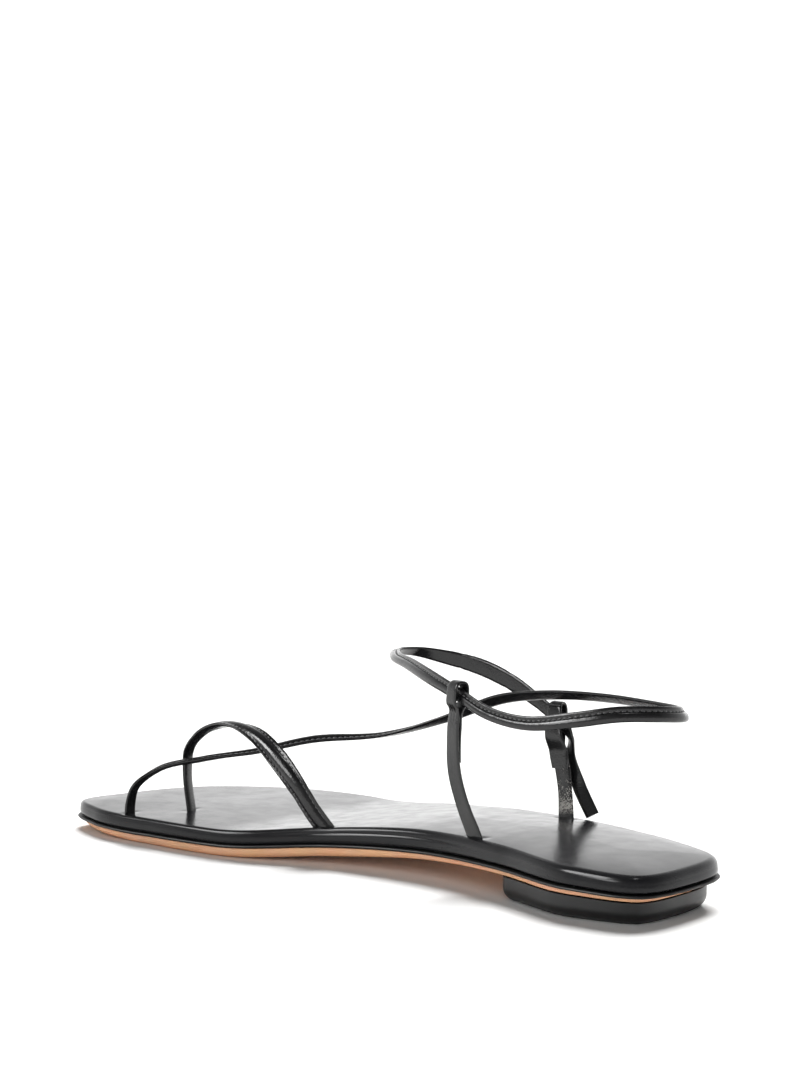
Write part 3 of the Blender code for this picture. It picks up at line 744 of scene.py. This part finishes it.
def make_outsole():
    """The tan sole: a tread, a lower edge rounded with the knife, and a side cut back at the toe."""
    mesh = bmesh.new()
    along = SOLE_RING[:, 0]
    into_toe = np.clip((along - TOE_SKIVE_FROM) / (TOE_SKIVE_TO - TOE_SKIVE_FROM), 0.0, 1.0)
    skive = TOE_SKIVE * into_toe**2
    side = OUTSOLE_INSET + back_inset(along)
    bevel = OUTSOLE_BEVEL * outsole_rise(along)
    foot = inset_ring(SOLE_RING, side + bevel + skive)
    under = across_ring(foot, ALONG_STEPS, ACROSS_STEPS)
    lay_grid(mesh, with_height(under, tread(under[..., 0])))
    rings = []
    for turn in np.radians(np.linspace(90.0, 0.0, OUTSOLE_EDGE_RINGS)):
        plan = inset_ring(SOLE_RING, side + bevel * (1 - np.cos(turn)) + skive)
        lift = outsole_rise(plan[:, 0]) * (1 - np.sin(turn))
        rings.append(with_height(plan, tread(plan[:, 0]) + lift))
    for share in np.linspace(0.0, 1.0, OUTSOLE_SIDE_RINGS)[1:]:
        plan = inset_ring(SOLE_RING, side + skive * (1 - share / 2))
        rise = outsole_rise(plan[:, 0])
        lift = rise + (outsole_thick(plan[:, 0]) - rise) * share
        rings.append(with_height(plan, tread(plan[:, 0]) + lift))
    lay_wall(mesh, rings)
    lay_fill(mesh, rings[-1])
    piece_from(mesh, "outsole_leather", sole_leather(), "outsole")


def heel_plan():
    """The sole's plan behind the breast line, with round corners where the breast meets the sides."""
    back = SOLE_PLAN[SOLE_PLAN[:, 0] < HEEL_BREAST - HEEL_CORNER]
    turn_from = np.argmax(np.linalg.norm(np.diff(back, axis=0), axis=1))
    back = np.roll(back, -turn_from - 1, axis=0)
    far_end, near_end = back[0], back[-1]
    quarter = np.linspace(0.0, np.pi / 2, HEEL_CORNER_POINTS)[1:]
    near = near_end + HEEL_CORNER * np.column_stack((np.sin(quarter), np.cos(quarter) - 1))
    far = far_end + HEEL_CORNER * np.column_stack((np.sin(quarter), 1 - np.cos(quarter)))
    breast = np.linspace(near[-1], far[-1], BREAST_POINTS)[1:-1]
    return np.vstack((back, near, breast, far[::-1]))


def make_heel():
    """The low block: a flat tread, a rounded lower edge, and a wall up to the outsole."""
    mesh = bmesh.new()
    ring = cornered_ring(heel_plan(), HEEL_CORNERS, HEEL_ALONG_STEPS, HEEL_ACROSS_STEPS)
    ring = inset_ring(ring, HEEL_INSET + back_inset(ring[:, 0]))
    under = across_ring(inset_ring(ring, HEEL_EDGE), HEEL_ALONG_STEPS, HEEL_ACROSS_STEPS)
    lay_grid(mesh, with_height(under, 0.0))
    rings = []
    for turn in np.radians(np.linspace(90.0, 0.0, HEEL_EDGE_RINGS)):
        plan = inset_ring(ring, HEEL_EDGE * (1 - np.cos(turn)))
        rings.append(with_height(plan, HEEL_EDGE * (1 - np.sin(turn))))
    wall = tread(ring[:, 0]) - GAP - HEEL_EDGE
    for share in np.linspace(0.0, 1.0, HEEL_SIDE_RINGS)[1:]:
        rings.append(with_height(ring, HEEL_EDGE + wall * share))
    lay_wall(mesh, rings)
    lay_fill(mesh, rings[-1], HEEL_ALONG_STEPS, HEEL_ACROSS_STEPS)
    piece_from(mesh, "heel_block", heel_rubber(), "heel")


class Route:
    """A strap's route, with the way ahead, the side and the face at each place."""

    def __init__(self, dense, step=STRAP_STEP, sides=False):
        rows = evenly(dense, round(run_of(dense)[-1] / step))
        self.places = rows[:, :3]
        self.ahead = unit(np.gradient(self.places, axis=0))
        facing = np.cross(rows[:, 3:6], self.ahead) if sides else rows[:, 3:6]
        self.face = unit(facing - self.ahead * (facing * self.ahead).sum(axis=1)[:, None])
        self.side = np.cross(self.ahead, self.face)
        self.width = rows[:, 6]
        self.run = run_of(rows)

    def at(self, place, column):
        """The column's values at a length along the route."""
        return np.array([np.interp(place, self.run, values) for values in column.T])


def make_strap(name, route, section, thick, material, creases, stands_for, puckers=()):
    """Wrap a flat grid round the section along the route, and keep where each corner lay when flat."""
    mesh = bmesh.new()
    flat = mesh.verts.layers.float_vector.new("laid_flat")
    curve = smooth_curve(section, closed=True)
    shape = evenly(curve, SECTION_POINTS)
    pinch = np.ones(len(route.run))
    for at, depth, span in creases:
        pinch -= depth * np.exp(-((route.run - at) / span)**2)
    across = shape[:, 0][:, None] * route.width * (1 - (1 - pinch) * PINCH_NARROWS)
    out = shape[:, 1][:, None] * thick * pinch
    for at, depth, span, spacing in puckers:
        gathered = np.exp(-((route.run - at) / span)**2)
        out = out - depth * gathered * np.sin(np.pi * across / spacing)**2 * np.sign(out)
    places = route.places + across[..., None] * route.side + out[..., None] * route.face
    corners = lay_grid(mesh, places)
    lengths = np.broadcast_to(route.run, across.shape)
    for corner, laid in zip(corners, np.stack((lengths, across, out), axis=-1).reshape(-1, 3)):
        corner[flat] = laid * MM
    piece_from(mesh, name, material, stands_for)


def stitch(mesh, route, place, to_side, out):
    """One stitch, a small round bead along the strap."""
    ahead, side, face = (route.at(place, way) for way in (route.ahead, route.side, route.face))
    middle = route.at(place, route.places) + to_side * side + out * face
    size = np.array((STITCH_LENGTH / 2, THREAD / 2, THREAD / 2)) * MM
    turn = np.column_stack((ahead, side, face)) * size
    shifts = (middle - ORIGIN) * MM
    to_place = Matrix([[*row, shift] for row, shift in zip(turn, shifts)] + [[0, 0, 0, 1]])
    bmesh.ops.create_icosphere(mesh, subdivisions=2, radius=1.0, matrix=to_place)


def make_stitching(name, route, seams, start, end, thick, material):
    """Rows of stitches along a strap, each row at a share of its width and thickness."""
    mesh = bmesh.new()
    for share_side, share_out in seams:
        for place in np.arange(start, end, STITCH_PITCH):
            width = np.interp(place, route.run, route.width)
            stitch(mesh, route, place, share_side * width, share_out * thick)
    piece_from(mesh, name, material)


def keeper_route(keeper):
    """The folded band of an upright, and the length along it to its neck.

    The band goes up its outer layer, round the keeper and down its inner layer.
    """
    dense = smooth_curve(keeper["leg"])
    layer = (UPRIGHT_LAYER + FOLD_GAP) / 2
    high = (keeper["clear_height"] + UPRIGHT_LAYER) / 2
    deep = (keeper["clear_depth"] + UPRIGHT_LAYER) / 2
    neck = keeper["middle"] - high - keeper["neck"]
    offsets = [(layer, height, 1.0) for height in np.linspace(dense[0, 2], neck, LEG_ROWS)]
    turns = np.radians(np.linspace(-keeper["leaves"], 180 + keeper["leaves"], KEEPER_ROWS))
    cosine, sine = np.cos(turns), np.sin(turns)
    outs = deep * np.sign(cosine) * abs(cosine)**KEEPER_FULLNESS
    heights = keeper["middle"] + high * np.sign(sine) * abs(sine)**KEEPER_FULLNESS
    widths = np.interp(turns, (np.pi / 2, KEEPER_FULL), (1.0, keeper["round_width"]))
    offsets += zip(outs, heights, widths)
    heights = np.linspace(neck, keeper["fold_end"], FOLD_ROWS)
    widths = np.linspace(keeper["fold_width"], keeper["end_width"], FOLD_ROWS)
    offsets += [(-layer, height, width) for height, width in zip(heights, widths)]
    rows = []
    for out, height, share in offsets:
        place = np.array([np.interp(height, dense[:, 2], column) for column in dense.T])
        face = unit(np.append(place[3:5], 0.0))
        side = np.cross(face, (0.0, 0.0, 1.0))
        middle_of_band = place[:3] + out * face + side * place[5] * max(share - 1, 0.0) / 2
        rows.append((*middle_of_band, *side, share * place[5]))
    route = Route(smooth_curve(rows), step=KEEPER_STEP, sides=True)
    to_neck = run_of(smooth_curve(rows[:LEG_ROWS]))[-1]
    return route, to_neck


def make_camera():
    """The photo's camera, behind the heel on the big-toe side."""
    data = bpy.data.cameras.new("camera")
    data.lens = LENS
    data.sensor_width = SENSOR
    camera = bpy.data.objects.new("camera", data)
    camera.location = EYE
    camera.rotation_mode = "QUATERNION"
    camera.rotation_quaternion = (Vector(AIM) - Vector(EYE)).to_track_quat("-Z", "Y")
    bpy.context.collection.objects.link(camera)
    bpy.context.scene.camera = camera


def make_floor():
    """Matt white board: a plain pale floor without shine, wide enough to fill the view."""
    mesh = bmesh.new()
    bmesh.ops.create_grid(mesh, x_segments=1, y_segments=1, size=FLOOR_SIZE)
    data = bpy.data.meshes.new("floor")
    mesh.to_mesh(data)
    mesh.free()
    material, _, shader = new_material("matt white board")
    shader.inputs["Base Color"].default_value = linear("#f6f6f5")
    shader.inputs["Roughness"].default_value = 0.9
    data.materials.append(material)
    floor = bpy.data.objects.new("floor", data)
    bpy.context.collection.objects.link(floor)


def make_light():
    """A white wall that only gloss mirrors, brightest beyond the toe and low down, and the lamps."""
    world = bpy.data.worlds.new("white wall")
    world.use_nodes = True
    tree = world.node_tree
    way = node(tree, "ShaderNodeTexCoord").outputs["Object"]
    facing = node(tree, "ShaderNodeVectorMath", {"operation": "DOT_PRODUCT", 1: WALL_WAY}, {0: way})
    glow = node(tree, "ShaderNodeMapRange",
                {"From Min": -0.4, "From Max": 0.9, "To Min": 0.45, "To Max": 2.0},
                {"Value": facing.outputs["Value"]})
    high = node(tree, "ShaderNodeSeparateXYZ", None, {"Vector": way}).outputs["Z"]
    fade = node(tree, "ShaderNodeMapRange",
                {"From Min": 0.08, "From Max": 0.75, "To Min": 1.0, "To Max": 0.15},
                {"Value": high})
    strength = node(tree, "ShaderNodeMath", {"operation": "MULTIPLY"},
                    {0: glow.outputs["Result"], 1: fade.outputs["Result"]})
    tree.links.new(strength.outputs[0], tree.nodes["Background"].inputs["Strength"])
    tree.nodes["Background"].inputs["Color"].default_value = (1.0, 1.0, 1.0, 1.0)
    bpy.context.scene.world = world
    world.cycles_visibility.diffuse = False
    for name, towards, spread, power, lights, mirrored in LAMPS:
        data = bpy.data.lights.new(name, "SUN")
        data.angle = np.radians(spread)
        data.energy = power
        light = bpy.data.objects.new(name, data)
        light.visible_diffuse = lights
        light.visible_glossy = mirrored
        light.location = towards
        light.rotation_mode = "QUATERNION"
        light.rotation_quaternion = (-Vector(towards)).to_track_quat("-Z", "Y")
        bpy.context.collection.objects.link(light)


bpy.context.scene.view_settings.view_transform = "Standard"
make_camera()
make_floor()
make_light()

make_footbed()
make_midsole()
make_outsole()
make_heel()

nappa = strap_leather("black nappa leather", False)
scuffed = strap_leather("scuffed black nappa leather", True)
thread = waxed_thread()

tie_route = Route(smooth_curve(TIE_ROUTE))
make_strap("tie_strap_leather", tie_route, TIE_SECTION, TIE_THICK, nappa, TIE_CREASES, "tie_strap")
make_stitching("tie_stitching", tie_route, TIE_SEAMS, TIE_SEAM_FROM, TIE_SEAM_TO, TIE_THICK, thread)

toe_route = Route(smooth_curve(TOE_STRAP_ROUTE))
make_strap("toe_strap_leather", toe_route, TOE_STRAP_SECTION, TOE_STRAP_THICK, nappa, TOE_STRAP_CREASES,
           "toe_strap")
make_stitching("toe_stitching", toe_route, TOE_SEAMS, TOE_SEAM_FROM, TOE_SEAM_TO, TOE_STRAP_THICK, thread)

for upright, leather in (("medial_upright", nappa), ("lateral_upright", scuffed)):
    band, neck = keeper_route(KEEPERS[upright])
    pinches = [(neck + place, *fold) for place, *fold in NECK_PINCHES.get(upright, ())]
    gathers = [(neck + place, *fold) for place, *fold in NECK_GATHERS.get(upright, ())]
    make_strap(upright + "_leather", band, BAND_SECTION, UPRIGHT_LAYER, leather, pinches, upright, gathers)
